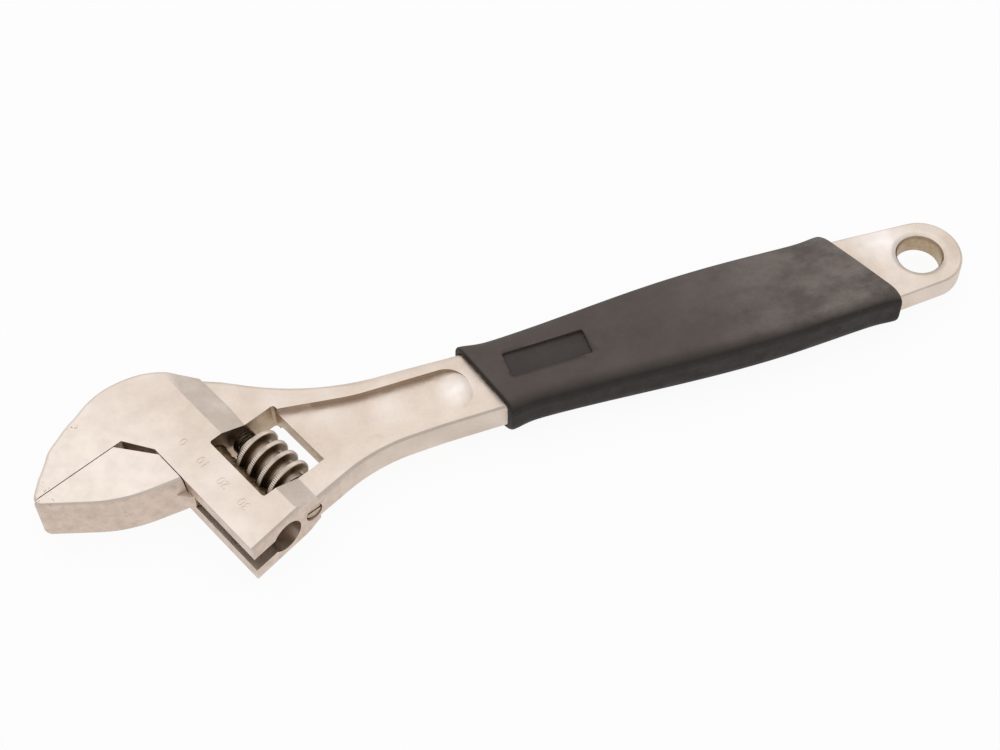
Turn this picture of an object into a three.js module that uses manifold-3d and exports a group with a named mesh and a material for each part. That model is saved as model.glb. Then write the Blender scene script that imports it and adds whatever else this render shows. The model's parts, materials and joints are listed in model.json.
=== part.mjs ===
// Adjustable wrench with a rubber grip, lying flat with its jaws closed.
//
// All lengths are in millimetres and Z is up.  X runs along the handle to the hanging hole.
// The head is turned against the handle and has two directions of its own:
//   opening  the way the loose jaw slides, away from the fixed jaw
//   reach    from the jaw tips back into the head
// Both are measured from the throat corner, where the fixed jaw's face meets the sliding face.
import * as THREE from 'three';
import { mergeVertices } from 'three/addons/utils/BufferGeometryUtils.js';
import Module from 'manifold-3d';

const wasm = await Module();
wasm.setup();

// ---- overall sizes ----
const HANDLE_LENGTH = 256.8; // throat corner to hanging hole, along X
const HEAD_RISE = 16.0; // throat corner above the handle's centre line
const HEAD_ANGLE = 22.5; // degrees between reach and X
const HEAD_THICKNESS = 17.6;
const NECK_THICKNESS = 10.7;
const TAIL_THICKNESS = 7.5;
const HEAD_EDGE = 1.5; // rounding of the forged edges
const NECK_EDGE = 1.8;
const TAIL_EDGE = 1.0;
const STEP_START = 18.3; // reach where the head starts to slope down to the neck
const STEP_END = 26.5; // reach where the slope meets the neck

// ---- fixed jaw ----
const JAW_LENGTH = 37.0; // jaw tips to the sliding face
const NOSE_RISE = 1.5; // blunt tip above the jaw face
const NOSE_ROUND = 3.0;
const BROW_RISE = 14.9; // corner between nose and crown, above the jaw face
const BROW_BACK = 14.2; // behind the jaw tips
const BROW_ROUND = 22.0;
const CROWN_RISE = 22.0; // top of the head, above the jaw face
const CROWN_BACK = 12.5; // behind the sliding face
const CROWN_ROUND = 24.0;
const THROAT_DEPTH = 5.8; // slanted throat facet, along reach
const THROAT_DROP = 9.5; // slanted throat facet, along opening

// ---- loose jaw ----
const JAW_OPENING = 34.0; // largest opening
const JAW_GAP = 0.3; // hairline between the closed jaws
const JAW_BASE = 23.3; // height of the hook at the sliding face
const JAW_TIP = 1.7; // blunt tip below the jaw face
const JAW_BELLY = 17.8; // fullest place of the hook's back, below the jaw face
const JAW_BELLY_BACK = 18.0; // behind the jaw tips
const JAW_BELLY_ROUND = 70.0;
const JAW_HEEL = 11.8; // start of the flat that slides on the head
const JAW_CHAMFER_REACH = 8.8; // slanted inner corner, along reach

// ---- keyhole slide ----
const BORE_REACH = 13.1; // bore axis behind the sliding face
const BORE_END_ROOM = 0.6; // blind end of the bore to the closed jaw's rod
const ROD_RADIUS = 5.3;
const ROD_CHAMFER = 0.7;
const RACK_KEPT = 7.3; // length of rack still under the worm with the jaws fully open
const RACK_BEYOND = 4.7; // rod past the worm with the jaws closed
const WEB_THICKNESS = 5.7;
const WEB_SETBACK = 7.2; // rod's end to the web
const WEB_DROP = 4.1; // web at the sliding face, below the hook's back
const WEB_FLARE = 4.0; // extra length of the web at the rod
const SLIDE_CLEARANCE = 0.3;

// ---- worm and rack ----
const THREAD_PITCH = 5.0;
const WORM_RADIUS = 8.7;
const WORM_LENGTH = 20.2;
const THREAD_DEPTH = 3.1;
const THREAD_FOOTING = 0.8; // thread sunk into the worm's core
const CREST_WIDTH = 2.2;
const ROOT_WIDTH = 2.6; // width of the thread at its foot
const CREST_CORNER = 0.35;
const MESH_CLEARANCE = 0.25; // to each flank of the rack's teeth
const RUN_CLEARANCE = 0.3;
const THREAD_PHASE = 0.9; // turns, sets where the thread starts

// ---- worm window ----
const WINDOW_START = 19.0; // throat corner to the window's upper wall, along opening
const WINDOW_FRONT_ROOM = 1.4; // worm to the window's front wall
const WINDOW_BACK_ROOM = 4.2; // worm to the window's back wall
const WINDOW_CORNER = 1.0;
const WINDOW_DRAFT = 0.06; // growth of the window from its middle to the faces
const END_WALL = 11.7; // window to the lower corner of the head

// ---- worm pin and spring ----
const PIN_RADIUS = 2.2;
const PIN_SEAT = 5.0; // length of the pin in the upper lug
const PIN_HEAD_RADIUS = 2.9;
const PIN_HEAD_LENGTH = 6.0;
const PIN_RECESS = 0.5; // pin head below the end face
const PIN_FACETS = 24;
const DRIVER_SLOT = 0.9;
const SPRING_LENGTH = 4.5; // squeezed between the worm and the window's upper wall
const SPRING_WIRE = 0.9;
const SPRING_RADIUS = 3.7; // coil axis to wire centre
const SPRING_TURNS = 3;
const SPRING_FACETS = 20;

// ---- handle ----
const NECK_HALF_WIDTH = 11.4;
const SHOULDER = 55.7; // throat corner to where the upper edge meets the neck, along X
const SHOULDER_ROUND = 85.0;
const FOOT = 66.9; // throat corner to where the end face's line meets the neck
const FOOT_ROUND = 48.0;
const NECK_END = 106.8; // throat corner to where the handle starts to widen
const HANDLE_ROUND = 60.0;
const TAIL_STEP = 54.0; // neck thickness ends here, before the hanging hole
const TAIL_START = 24.0; // widest place of the tail, before the hanging hole
const TAIL_HALF_WIDTH = 14.1;
const TAIL_TAPER = 2.3; // narrowing towards the round end
const TAIL_END = 13.9; // behind the hanging hole's centre
const TAIL_ROUND = 12.6;
const HOLE_RADIUS = 7.2;
const HOLE_FLARE = 1.8;

// ---- pockets of the I-section neck ----
const POCKET_WEB = 6.1; // thickness left between the two pockets
const POCKET_HALF_WIDTH = 8.0;
const POCKET_INSET = 1.4; // pocket's upper corner inside the window's upper wall
const POCKET_BEND = 66.0; // throat corner to where the pocket's sides turn along the handle
const POCKET_BEND_ROUND = 60.0;
const POCKET_MOUTH_ROUND = 3.0;
const POCKET_MOUTH_LAP = 4.0; // runs this far into the window
const POCKET_END = 101.3; // throat corner to the pocket's round end
const POCKET_END_ROUND = 7.4;
const POCKET_RAMP = 13.0;

// ---- grip ----
const GRIP_START = 105.9; // throat corner to the grip's front edge, along X
const GRIP_REST = 21.9; // grip's rear edge to the hanging hole
const GRIP_FRONT_SLANT = 0.29; // lean of the front edge, along X for each millimetre across
const GRIP_REAR_SLANT = 0.398;
const GRIP_FIT = 0.3; // around the handle
const GRIP_FRONT = { halfWidth: 13.5, halfThickness: 7.6 };
const GRIP_BELLY = { halfWidth: 17.9, halfThickness: 8.8 };
const GRIP_REAR = { halfWidth: 16.6, halfThickness: 8.4 };
const GRIP_BELLY_PLACE = 0.63; // place of the widest section, as a share of the grip's length
const GRIP_CORNER = 5.5;
const GRIP_STEPS = 24;
const PANEL_LENGTH = 27.0; // sunk size panel
const PANEL_WIDTH = 9.6;
const PANEL_START = 8.2; // behind the grip's front edge
const PANEL_SHIFT = 0.6; // above the handle's centre line
const PANEL_DEPTH = 0.6;
const PANEL_TILT = 3.5; // degrees, the floor rises to the surface at the lower edge

const ARC_SEGMENTS = 5; // half the facets of each rounded corner
const RIM_SEGMENTS = 3; // facets of each rounded rim
const ROUND_FACETS = 36;
const BEYOND = 60; // how far cutting solids run past what they cut
const SPAN = 2 * HANDLE_LENGTH; // longer than the wrench

// ---- the head's own frame ----
const headTurn = THREE.MathUtils.degToRad(HEAD_ANGLE - 90);
const headOrigin = new THREE.Vector3(-HANDLE_LENGTH, HEAD_RISE, 0);
const headFrame = new THREE.Matrix4().makeRotationZ(headTurn).setPosition(headOrigin);
const headHalf = HEAD_THICKNESS / 2;
const neckHalf = NECK_THICKNESS / 2;
const tailHalf = TAIL_THICKNESS / 2;

// ---- places along opening and reach that several pieces share ----
const rootRadius = WORM_RADIUS - THREAD_DEPTH;
const wormReach = BORE_REACH + ROD_RADIUS + RUN_CLEARANCE + rootRadius;
const wormStart = WINDOW_START + SPRING_LENGTH + 2 * RUN_CLEARANCE;
const wormEnd = wormStart + WORM_LENGTH;
const windowEnd = wormEnd + RUN_CLEARANCE;
const windowFront = wormReach - WORM_RADIUS - WINDOW_FRONT_ROOM;
const windowBack = wormReach + WORM_RADIUS + WINDOW_BACK_ROOM;
const slideLength = windowEnd + END_WALL;
const rodStart = wormEnd - RACK_KEPT - JAW_OPENING;
const rodEnd = wormEnd + RACK_BEYOND;
const webStart = rodStart + WEB_SETBACK;

function headPoint(opening, reach) {
  const point = new THREE.Vector3(opening, reach, 0).applyMatrix4(headFrame);
  return new THREE.Vector2(point.x, point.y);
}

function handlePoint(fromThroat, across) {
  return new THREE.Vector2(fromThroat - HANDLE_LENGTH, across);
}

// ---- solids ----
function toSolid(geometry) {
  const bare = geometry.clone();
  bare.deleteAttribute('normal');
  bare.deleteAttribute('uv');
  const merged = mergeVertices(bare, 1e-5);
  return new wasm.Manifold(new wasm.Mesh({
    numProp: 3,
    vertProperties: Float32Array.from(merged.attributes.position.array),
    triVerts: Uint32Array.from(merged.index.array),
  }));
}

function toGeometry(solid) {
  const mesh = solid.getMesh();
  const geometry = new THREE.BufferGeometry();
  geometry.setAttribute('position', new THREE.BufferAttribute(mesh.vertProperties, 3));
  geometry.setIndex(new THREE.BufferAttribute(mesh.triVerts, 1));
  geometry.computeVertexNormals();
  return geometry;
}

const inHead = (geometry) => toSolid(geometry.applyMatrix4(headFrame));

// A shape through points, without the doubled ones where arcs meet lines.
function withoutDoubles(points) {
  const apart = points.filter((point, i) => point.distanceTo(points.at(i - 1)) > 1e-3);
  return new THREE.Shape(apart);
}

// A closed outline through corners [point, radius]; each corner becomes a true arc.
function roundedShape(corners) {
  const shape = new THREE.Shape();
  corners.forEach(([point, radius], i) => {
    const toPrevious = corners.at(i - 1)[0].clone().sub(point);
    const toNext = corners[(i + 1) % corners.length][0].clone().sub(point);
    const room = 0.495 * Math.min(toPrevious.length(), toNext.length());
    toPrevious.normalize();
    toNext.normalize();
    const halfAngle = Math.acos(THREE.MathUtils.clamp(toPrevious.dot(toNext), -1, 1)) / 2;
    const tangent = Math.min(radius / Math.tan(halfAngle), room);
    const arcRadius = tangent * Math.tan(halfAngle);
    const start = point.clone().addScaledVector(toPrevious, tangent);
    const end = point.clone().addScaledVector(toNext, tangent);
    const middle = toPrevious.clone().add(toNext).setLength(arcRadius / Math.sin(halfAngle)).add(point);
    const clockwise = toPrevious.cross(toNext) > 0;
    if (i === 0) shape.moveTo(start.x, start.y);
    else shape.lineTo(start.x, start.y);
    const angleTo = (target) => Math.atan2(target.y - middle.y, target.x - middle.x);
    if (radius > 0) shape.absarc(middle.x, middle.y, arcRadius, angleTo(start), angleTo(end), clockwise);
  });
  return withoutDoubles(shape.getPoints(ARC_SEGMENTS));
}

const polygon = (points) => new THREE.Shape(points.map(([x, y]) => new THREE.Vector2(x, y)));

// The four corners of a rectangle about its centre, each rounded.
function roundedBox(halfWidth, halfHeight, radius) {
  return roundedShape([[-1, -1], [1, -1], [1, 1], [-1, 1]].map(([across, up]) => [
    new THREE.Vector2(across * halfWidth, up * halfHeight), radius,
  ]));
}

// A flat plate centred on Z = 0 with its two rims rounded.
function plate(shape, halfThickness, edge) {
  const geometry = new THREE.ExtrudeGeometry(shape, {
    depth: 2 * (halfThickness - edge),
    curveSegments: ARC_SEGMENTS,
    bevelThickness: edge,
    bevelSize: edge,
    bevelOffset: -edge,
    bevelSegments: RIM_SEGMENTS,
  });
  return geometry.translate(0, 0, edge - halfThickness);
}

// A straight-sided prism centred on the plane of its outline.
function prism(shape, thickness) {
  const options = { depth: thickness, bevelEnabled: false, curveSegments: ARC_SEGMENTS };
  return new THREE.ExtrudeGeometry(shape, options).translate(0, 0, -thickness / 2);
}

// A prism whose outline is drawn in (X, Z) and which runs along Y.
const sideProfile = (shape) => prism(shape, SPAN).rotateX(Math.PI / 2);

// A prism whose outline is drawn in (reach, Z) and which runs along opening, in the head's frame.
function reachProfile(shape) {
  const turn = new THREE.Matrix4().makeBasis(
    new THREE.Vector3(0, 1, 0),
    new THREE.Vector3(0, 0, 1),
    new THREE.Vector3(1, 0, 0),
  );
  return prism(shape, SPAN).applyMatrix4(turn);
}

// A round bar along opening at a given reach, from a lathe profile of [radius, opening] steps.
function turned(steps, reach, facets = ROUND_FACETS) {
  const profile = steps.map(([radius, along]) => new THREE.Vector2(radius, along));
  return new THREE.LatheGeometry(profile, facets).rotateZ(-Math.PI / 2).translate(0, reach, 0);
}

function cylinder(radius, from, to, reach, facets) {
  return turned([[0, from], [radius, from], [radius, to], [0, to]], reach, facets);
}

// A straight bar of the given section wrapped round the opening axis as a right-hand helix.
// The section is drawn as (along the axis, away from the axis).
function helix(section, pitch, turns, phase, facets) {
  const steps = Math.round(turns * facets);
  const bar = new THREE.ExtrudeGeometry(section, { depth: turns, steps, bevelEnabled: false });
  const position = bar.attributes.position;
  for (let i = 0; i < position.count; i += 1) {
    const along = position.getX(i);
    const radius = position.getY(i);
    const turn = position.getZ(i);
    const angle = 2 * Math.PI * (turn + phase);
    position.setXYZ(i, along + pitch * turn, radius * Math.cos(angle), radius * Math.sin(angle));
  }
  return bar;
}

// ---- worm thread, also the tool that cuts the rack ----
// The thread's section, grown by a clearance; its foot reaches below the root of the worm.
function threadSection(grow) {
  const foot = rootRadius - THREAD_FOOTING;
  const top = WORM_RADIUS + (grow > 0 ? RUN_CLEARANCE : 0);
  const footHalf = ROOT_WIDTH / 2 + grow;
  const crestHalf = CREST_WIDTH / 2 + grow;
  const corner = grow > 0 ? 0 : CREST_CORNER;
  const rightFlank = [[crestHalf, top - corner], [crestHalf - corner, top]];
  const leftFlank = [[corner - crestHalf, top], [-crestHalf, top - corner]];
  const crest = corner > 0 ? [...rightFlank, ...leftFlank] : [rightFlank[0], leftFlank[0]];
  return polygon([[-footHalf, foot], [footHalf, foot], ...crest]);
}

// Thread from one opening to another; the phase ties every length of it to the same helix.
function thread(from, to, grow) {
  const firstTurn = Math.floor(from / THREAD_PITCH) - 1;
  const turns = Math.ceil(to / THREAD_PITCH) + 1 - firstTurn;
  return helix(threadSection(grow), THREAD_PITCH, turns, THREAD_PHASE, ROUND_FACETS)
    .translate(firstTurn * THREAD_PITCH, wormReach, 0);
}

// ---- wrench body: fixed jaw, head and handle in one forging ----
const endFaceFoot = handlePoint(FOOT, -NECK_HALF_WIDTH);
const lowerCorner = headPoint(slideLength, 0);
const endFaceAngle = Math.atan2(endFaceFoot.y - lowerCorner.y, endFaceFoot.x - lowerCorner.x);

// One long edge of the handle, from the grip to the widest place of the tail.
function handleEdge(side, grow) {
  return [
    [handlePoint(NECK_END, side * (NECK_HALF_WIDTH + grow)), HANDLE_ROUND],
    [new THREE.Vector2(-TAIL_START, side * (TAIL_HALF_WIDTH + grow)), HANDLE_ROUND],
    [new THREE.Vector2(TAIL_END, side * (TAIL_HALF_WIDTH - TAIL_TAPER)), TAIL_ROUND],
  ];
}

// The forging is outlined without its mouth, which is machined later; grow widens the handle only.
function outline(grow = 0) {
  const inMouth = new THREE.Vector2(-THROAT_DROP, 0).rotateAround(new THREE.Vector2(), endFaceAngle);
  return roundedShape([
    [headPoint(THROAT_DROP, -JAW_LENGTH), 0],
    [headPoint(-NOSE_RISE, -JAW_LENGTH), NOSE_ROUND],
    [headPoint(-BROW_RISE, BROW_BACK - JAW_LENGTH), BROW_ROUND],
    [headPoint(-CROWN_RISE, CROWN_BACK), CROWN_ROUND],
    [handlePoint(SHOULDER, NECK_HALF_WIDTH + grow), SHOULDER_ROUND],
    ...handleEdge(1, grow),
    ...handleEdge(-1, grow).reverse(),
    [handlePoint(FOOT, -NECK_HALF_WIDTH - grow), FOOT_ROUND],
    [lowerCorner.clone().add(inMouth), 0],
  ]);
}

// Everything in front of the jaw face, the throat facet and the sliding face.
function mouth(gap, chamferReach, heel) {
  const below = slideLength + BEYOND;
  return polygon([
    [gap, -BEYOND], [gap, -chamferReach], [heel, -gap], [below, -gap], [below, -BEYOND],
  ]);
}

// Side view of the head: full thickness, then the slope down into the neck plate.
function headPlate() {
  const inside = neckHalf - NECK_EDGE;
  const lap = STEP_END + NECK_EDGE;
  const upper = [[lap, inside], [STEP_END, inside], [STEP_END, neckHalf], [STEP_START, headHalf],
    [STEP_START, BEYOND], [-BEYOND, BEYOND]];
  const lower = upper.map(([reach, up]) => [reach, -up]).reverse();
  const side = polygon([...lower, ...upper]);
  return toSolid(plate(outline(), headHalf, HEAD_EDGE)).intersect(inHead(reachProfile(side)));
}

// Neck plate up to the step under the grip, and the thinner tail plate that carries on behind it.
function handlePlates(grow) {
  const end = grow - TAIL_STEP;
  const front = polygon([[-SPAN, -BEYOND], [end, -BEYOND], [end, BEYOND], [-SPAN, BEYOND]]);
  const neck = toSolid(plate(outline(grow), neckHalf + grow, NECK_EDGE));
  const tail = toSolid(plate(outline(grow), tailHalf + grow, TAIL_EDGE));
  return neck.intersect(toSolid(sideProfile(front))).add(tail);
}

// Keyhole along the sliding face: a round bore for the rod and a slot for the web.
function keyhole() {
  const end = slideLength + ROD_RADIUS;
  const bore = inHead(cylinder(ROD_RADIUS + SLIDE_CLEARANCE, rodStart - BORE_END_ROOM, end, BORE_REACH));
  const slotWidth = WEB_THICKNESS + 2 * SLIDE_CLEARANCE;
  const slotStart = webStart - SLIDE_CLEARANCE;
  const slotLength = end - slotStart;
  const slot = new THREE.BoxGeometry(slotLength, 2 * BORE_REACH, slotWidth)
    .translate(slotStart + slotLength / 2, 0, 0);
  return bore.add(inHead(slot));
}

// Window for the worm, narrowest at its middle and drafted towards both faces.
function wormWindow() {
  const halfLength = (windowEnd - WINDOW_START) / 2;
  const halfDepth = (windowBack - windowFront) / 2;
  const depth = HEAD_THICKNESS + 2 * RUN_CLEARANCE;
  const options = { depth, steps: 2, bevelEnabled: false };
  const geometry = new THREE.ExtrudeGeometry(roundedBox(halfLength, halfDepth, WINDOW_CORNER), options);
  geometry.translate(0, 0, -depth / 2);
  const position = geometry.attributes.position;
  for (let i = 0; i < position.count; i += 1) {
    const grow = WINDOW_DRAFT * Math.abs(position.getZ(i));
    const along = position.getX(i) + Math.sign(position.getX(i)) * grow;
    const back = position.getY(i) + Math.sign(position.getY(i)) * grow;
    position.setXY(i, along, back);
  }
  return inHead(geometry.translate(WINDOW_START + halfLength, windowFront + halfDepth, 0));
}

// The two pockets that leave an I-section neck; each floor ramps up at the grip end.
function pockets() {
  const insideWindow = windowBack - POCKET_MOUTH_LAP;
  const shape = roundedShape([
    [headPoint(WINDOW_START + POCKET_INSET, insideWindow), 0],
    [headPoint(WINDOW_START + POCKET_INSET, windowBack), POCKET_MOUTH_ROUND],
    [handlePoint(POCKET_BEND, POCKET_HALF_WIDTH), POCKET_BEND_ROUND],
    [handlePoint(POCKET_END, POCKET_HALF_WIDTH), POCKET_END_ROUND],
    [handlePoint(POCKET_END, -POCKET_HALF_WIDTH), POCKET_END_ROUND],
    [handlePoint(POCKET_BEND, -POCKET_HALF_WIDTH), POCKET_BEND_ROUND],
    [headPoint(windowEnd, windowBack), POCKET_MOUTH_ROUND],
    [headPoint(windowEnd, insideWindow), 0],
  ]);
  const floor = POCKET_WEB / 2;
  const rampEnd = POCKET_END - HANDLE_LENGTH;
  const side = new THREE.Shape();
  side.moveTo(-HANDLE_LENGTH, floor);
  side.lineTo(rampEnd - POCKET_RAMP, floor);
  side.quadraticCurveTo(rampEnd - POCKET_RAMP / 3, floor, rampEnd, neckHalf);
  side.lineTo(rampEnd, BEYOND);
  side.lineTo(-HANDLE_LENGTH, BEYOND);
  const above = toSolid(prism(shape, BEYOND)).intersect(toSolid(sideProfile(side)));
  return above.add(above.mirror([0, 0, 1]));
}

// Hanging hole with a rounded rim on both faces.
function hangingHole() {
  const rim = tailHalf - HOLE_FLARE;
  const rimRadius = HOLE_RADIUS + HOLE_FLARE;
  const profile = new THREE.Path();
  profile.moveTo(0, -headHalf);
  profile.lineTo(rimRadius, -headHalf);
  profile.lineTo(rimRadius, -tailHalf);
  profile.absarc(rimRadius, -rim, HOLE_FLARE, -Math.PI / 2, -Math.PI, true);
  profile.absarc(rimRadius, rim, HOLE_FLARE, Math.PI, Math.PI / 2, true);
  profile.lineTo(rimRadius, headHalf);
  profile.lineTo(0, headHalf);
  return toSolid(new THREE.LatheGeometry(profile.getPoints(2), ROUND_FACETS).rotateX(Math.PI / 2));
}

// Stepped hole for the worm pin, from the end face through the window into the upper lug.
const pinStart = WINDOW_START - PIN_SEAT;
const endFaceLean = endFaceAngle - THREE.MathUtils.degToRad(HEAD_ANGLE);
const endFaceAtPin = slideLength - wormReach * Math.tan(endFaceLean);
const pinEnd = endFaceAtPin - PIN_RECESS;
const pinShoulder = pinEnd - PIN_HEAD_LENGTH;

function pinHole() {
  const radius = PIN_RADIUS + RUN_CLEARANCE;
  const headRadius = PIN_HEAD_RADIUS + RUN_CLEARANCE;
  const start = pinStart - RUN_CLEARANCE;
  const shoulder = pinShoulder - RUN_CLEARANCE;
  const end = slideLength + PIN_HEAD_LENGTH;
  return inHead(turned([
    [0, start], [radius, start], [radius, shoulder], [headRadius, shoulder], [headRadius, end], [0, end],
  ], wormReach, PIN_FACETS));
}

function wrenchBody() {
  return headPlate().add(handlePlates(0))
    .subtract(inHead(prism(mouth(0, THROAT_DEPTH, THROAT_DROP), BEYOND)))
    .subtract(keyhole())
    .subtract(wormWindow())
    .subtract(pockets())
    .subtract(pinHole())
    .subtract(hangingHole());
}

// ---- loose jaw: hook, web and toothed rod in one piece ----
function movableJaw() {
  const hook = roundedShape([
    [-NOSE_ROUND, -JAW_LENGTH, 0],
    [JAW_GAP + JAW_TIP, -JAW_LENGTH, NOSE_ROUND],
    [JAW_BELLY, JAW_BELLY_BACK - JAW_LENGTH, JAW_BELLY_ROUND],
    [JAW_BASE, 0, 0],
    [JAW_BASE, NOSE_ROUND, 0],
    [-NOSE_ROUND, NOSE_ROUND, 0],
  ].map(([opening, reach, radius]) => [new THREE.Vector2(opening, reach), radius]));
  const webEnd = JAW_BASE + WEB_DROP;
  const web = polygon([
    [webStart, -WEB_DROP], [JAW_BASE - WEB_DROP / 2, -WEB_DROP], [webEnd, SLIDE_CLEARANCE],
    [webEnd + WEB_FLARE, BORE_REACH - ROD_RADIUS], [webEnd + WEB_FLARE, BORE_REACH], [webStart, BORE_REACH],
  ]);
  const chamfered = ROD_RADIUS - ROD_CHAMFER;
  const rod = turned([
    [0, rodStart], [chamfered, rodStart], [ROD_RADIUS, rodStart + ROD_CHAMFER],
    [ROD_RADIUS, rodEnd - ROD_CHAMFER], [chamfered, rodEnd], [0, rodEnd],
  ], BORE_REACH);
  return toSolid(plate(hook, headHalf, HEAD_EDGE))
    .intersect(toSolid(prism(mouth(JAW_GAP, JAW_CHAMFER_REACH, JAW_HEEL), BEYOND)))
    .add(toSolid(prism(web, WEB_THICKNESS)))
    .add(toSolid(rod).subtract(toSolid(thread(rodStart, rodEnd, MESH_CLEARANCE))));
}

// ---- worm, pin and spring ----
function wormScrew() {
  const through = cylinder(PIN_RADIUS + RUN_CLEARANCE, wormStart - 1, wormEnd + 1, wormReach, PIN_FACETS);
  return toSolid(thread(wormStart, wormEnd, 0))
    .intersect(toSolid(cylinder(WORM_RADIUS + 1, wormStart, wormEnd, wormReach)))
    .add(toSolid(cylinder(rootRadius, wormStart, wormEnd, wormReach)))
    .subtract(toSolid(through));
}

function wormPin() {
  const bar = toSolid(turned([
    [0, pinStart], [PIN_RADIUS, pinStart], [PIN_RADIUS, pinShoulder],
    [PIN_HEAD_RADIUS, pinShoulder], [PIN_HEAD_RADIUS, pinEnd], [0, pinEnd],
  ], wormReach, PIN_FACETS));
  const slot = new THREE.BoxGeometry(2 * DRIVER_SLOT, 4 * PIN_HEAD_RADIUS, DRIVER_SLOT)
    .translate(pinEnd, wormReach, 0);
  return bar.subtract(toSolid(slot));
}

function wormSpring() {
  const wire = new THREE.Shape().absarc(0, SPRING_RADIUS, SPRING_WIRE / 2, 0, 2 * Math.PI);
  const section = new THREE.Shape(wire.getPoints(4));
  const pitch = (SPRING_LENGTH - SPRING_WIRE) / SPRING_TURNS;
  const coil = helix(section, pitch, SPRING_TURNS, 0, SPRING_FACETS);
  return toSolid(coil.translate(WINDOW_START + RUN_CLEARANCE + SPRING_WIRE / 2, wormReach, 0));
}

// ---- grip: a moulded sleeve that bellies towards its rear ----
const gripFront = GRIP_START - HANDLE_LENGTH;
const gripRear = -GRIP_REST;
const gripLength = gripRear - gripFront;

// Size of the grip's section at a share of its length, smooth through the belly.
function gripSize(share, key) {
  const beforeBelly = share < GRIP_BELLY_PLACE;
  const end = beforeBelly ? GRIP_FRONT[key] : GRIP_REAR[key];
  const run = beforeBelly ? GRIP_BELLY_PLACE : 1 - GRIP_BELLY_PLACE;
  const away = Math.min(Math.abs(share - GRIP_BELLY_PLACE) / run, 1);
  return THREE.MathUtils.lerp(GRIP_BELLY[key], end, 0.5 - 0.5 * Math.cos(Math.PI * away));
}

// The sleeve's outer form, longer than the grip so that its slanted ends can be cut from it.
function gripBlank() {
  const spare = GRIP_BELLY.halfWidth;
  const section = roundedBox(GRIP_BELLY.halfThickness, GRIP_BELLY.halfWidth, GRIP_CORNER);
  const options = { depth: gripLength + 2 * spare, steps: GRIP_STEPS, bevelEnabled: false };
  const blank = new THREE.ExtrudeGeometry(section, options).rotateY(Math.PI / 2).translate(-spare, 0, 0);
  const position = blank.attributes.position;
  for (let i = 0; i < position.count; i += 1) {
    const share = position.getX(i) / gripLength;
    const width = gripSize(share, 'halfWidth') / GRIP_BELLY.halfWidth;
    const thickness = gripSize(share, 'halfThickness') / GRIP_BELLY.halfThickness;
    position.setXYZ(i, position.getX(i) + gripFront, position.getY(i) * width, position.getZ(i) * thickness);
  }
  return toSolid(blank);
}

// Sunk panel on the upper face, deepest along its upper edge.
function gripPanel() {
  const surface = GRIP_FRONT.halfThickness;
  const panel = new THREE.BoxGeometry(PANEL_LENGTH, PANEL_WIDTH, surface)
    .translate(0, 0, surface / 2)
    .rotateX(-THREE.MathUtils.degToRad(PANEL_TILT))
    .translate(gripFront + PANEL_START + PANEL_LENGTH / 2, PANEL_SHIFT, surface - PANEL_DEPTH);
  return toSolid(panel);
}

function gripSleeve() {
  const frontLean = BEYOND * GRIP_FRONT_SLANT;
  const rearLean = BEYOND * GRIP_REAR_SLANT;
  const ends = prism(polygon([
    [gripFront + frontLean, -BEYOND],
    [gripRear + rearLean, -BEYOND],
    [gripRear - rearLean, BEYOND],
    [gripFront - frontLean, BEYOND],
  ]), BEYOND);
  return gripBlank().intersect(toSolid(ends)).subtract(handlePlates(GRIP_FIT)).subtract(gripPanel());
}

// ---- assembly ----
function piece(name, solid, color, roughness, metalness) {
  const material = new THREE.MeshStandardMaterial({ color, roughness, metalness });
  const mesh = new THREE.Mesh(toGeometry(solid), material);
  mesh.name = name;
  return mesh;
}

const head = new THREE.Group();
head.applyMatrix4(headFrame);
head.add(
  piece('movable_jaw', movableJaw(), '#e0d2c6', 0.38, 0.9),
  piece('worm', wormScrew(), '#cdbca9', 0.4, 0.9),
  piece('worm_pin', wormPin(), '#b9aca0', 0.4, 0.9),
  piece('worm_spring', wormSpring(), '#8f857c', 0.45, 0.9),
);

const wrench = new THREE.Group();
wrench.add(
  piece('wrench_body', wrenchBody(), '#e2d4c8', 0.38, 0.9),
  piece('grip_sleeve', gripSleeve(), '#57514d', 0.85, 0.0),
  head,
);

// The origin is the middle of the underside of the wrench's box.
const box = new THREE.Box3().setFromObject(wrench, true);
const middle = box.getCenter(new THREE.Vector3());
wrench.position.set(-middle.x, -middle.y, -box.min.z);

const group = new THREE.Group();
group.add(wrench);

export default group;
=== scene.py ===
# Looks of an adjustable wrench with a rubber grip: satin nickel plating, an oiled thumb worm
# and a matte moulded sleeve, lying on a pale table.
import json
import math

import bmesh
import bpy
from mathutils import Matrix, Vector


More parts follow.
